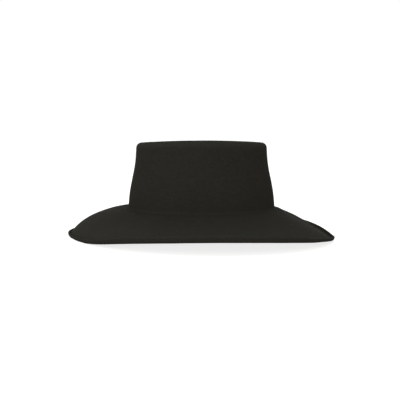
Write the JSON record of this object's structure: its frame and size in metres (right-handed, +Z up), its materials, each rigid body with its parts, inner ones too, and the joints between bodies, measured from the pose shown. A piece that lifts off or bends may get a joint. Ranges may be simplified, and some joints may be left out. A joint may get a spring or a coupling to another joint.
{
  "type": "wide-brim felt hat",
  "caption": "Wide-brim felt hat with a tapered crown, sunken flat top and a brim that drops at front and back.",
  "frame": {"origin": "on the surface the hat rests on, under the middle of its outline", "axes": "+Z up; the hat's front points along -X, so its length runs along X and the sides of the brim are at -Y and +Y"},
  "size_m": [0.3696, 0.3414, 0.1319],
  "materials": {
    "felt": "matte brushed felt"
  },
  "bodies": {
    "root": {"felt_body": "felt"}
  },
  "joints": []
}
